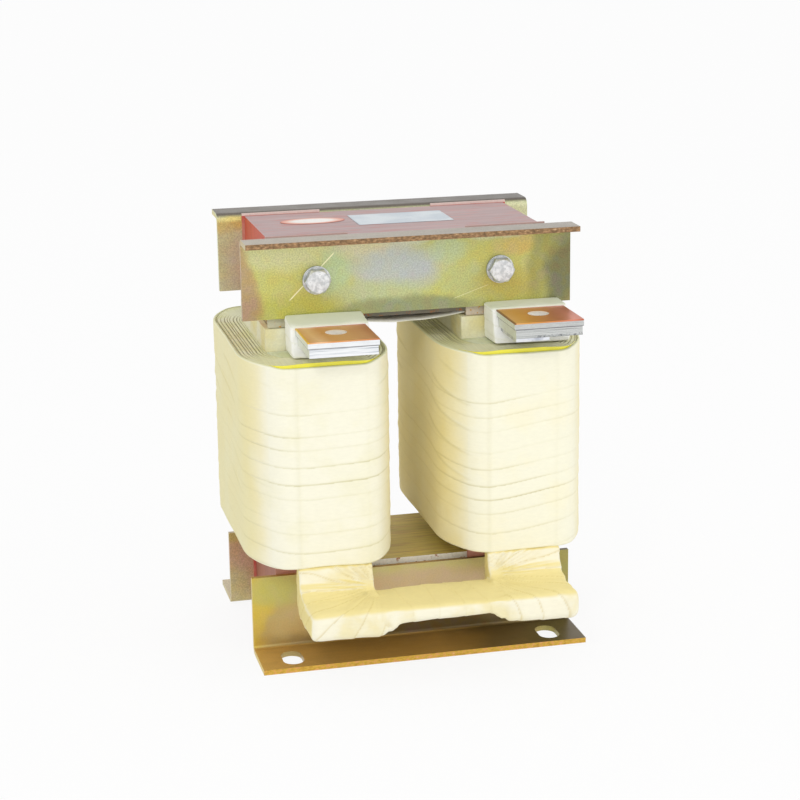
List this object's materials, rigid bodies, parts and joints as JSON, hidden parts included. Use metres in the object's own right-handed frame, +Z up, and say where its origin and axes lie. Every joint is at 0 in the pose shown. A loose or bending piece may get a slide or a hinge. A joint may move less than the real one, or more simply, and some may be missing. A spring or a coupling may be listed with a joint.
{
  "type": "dc reactor",
  "caption": "Two-coil smoothing reactor: laminated core held by bent-plate clamps, tape-wrapped foil coils with flat copper-faced terminals, joined in series by a taped jumper bar.",
  "frame": {"origin": "middle of the four foot slots, on the base plane under the lower clamps", "axes": "+Z up, X along the clamps, -Y the front with the terminals and the jumper"},
  "size_m": [0.198, 0.1991, 0.243],
  "materials": {
    "core_steel": "red varnish over stacked steel laminations",
    "pressboard": "varnished board",
    "zinc_plate": "yellow chromate over zinc, iridescent",
    "red_pad": "pinkish insulating board",
    "bolt_zinc": "white zinc",
    "sleeve": "resin tube",
    "former_paper": "pale yellow insulating board",
    "winding": "pale green interlayer paper on foil",
    "filler_board": "pale green board",
    "coil_tape": "varnished cream cotton tape",
    "yellow_film": "polyester film",
    "aluminium_bar": "milled and cut",
    "copper": null,
    "lead_tape": "white cotton tape",
    "jumper_tape": "varnished yellowish tape"
  },
  "bodies": {
    "root": {"lower_yoke": "core_steel", "upper_yoke": "core_steel", "left_leg": "core_steel", "right_leg": "core_steel", "lower_gap_spacers": "pressboard", "upper_gap_spacers": "pressboard", "lower_front_clamp": "zinc_plate", "lower_rear_clamp": "zinc_plate", "upper_front_clamp": "zinc_plate", "upper_rear_clamp": "zinc_plate", "upper_front_pads": "red_pad", "upper_rear_pads": "red_pad", "lower_front_pads": "red_pad", "lower_rear_pads": "red_pad", "upper_clamp_bolts": "bolt_zinc", "lower_clamp_bolts": "bolt_zinc", "front_washers": "bolt_zinc", "rear_washers": "bolt_zinc", "spring_washers": "bolt_zinc", "clamp_nuts": "bolt_zinc", "bolt_sleeves": "sleeve", "left_coil_former": "former_paper", "left_winding": "winding", "left_coil_fillers": "filler_board", "left_coil_tape": "coil_tape", "left_edge_film": "yellow_film", "left_start_lead": "aluminium_bar", "left_terminal_plate": "aluminium_bar", "left_copper_facing": "copper", "left_lead_wrap": "lead_tape", "left_finish_lead": "aluminium_bar", "right_coil_former": "former_paper", "right_winding": "winding", "right_coil_fillers": "filler_board", "right_coil_tape": "coil_tape", "right_edge_film": "yellow_film", "right_start_lead": "aluminium_bar", "right_terminal_plate": "aluminium_bar", "right_copper_facing": "copper", "right_lead_wrap": "lead_tape", "right_finish_lead": "aluminium_bar", "right_backing_strip": "aluminium_bar", "jumper_bar": "aluminium_bar", "jumper_wrap": "jumper_tape"}
  },
  "joints": []
}
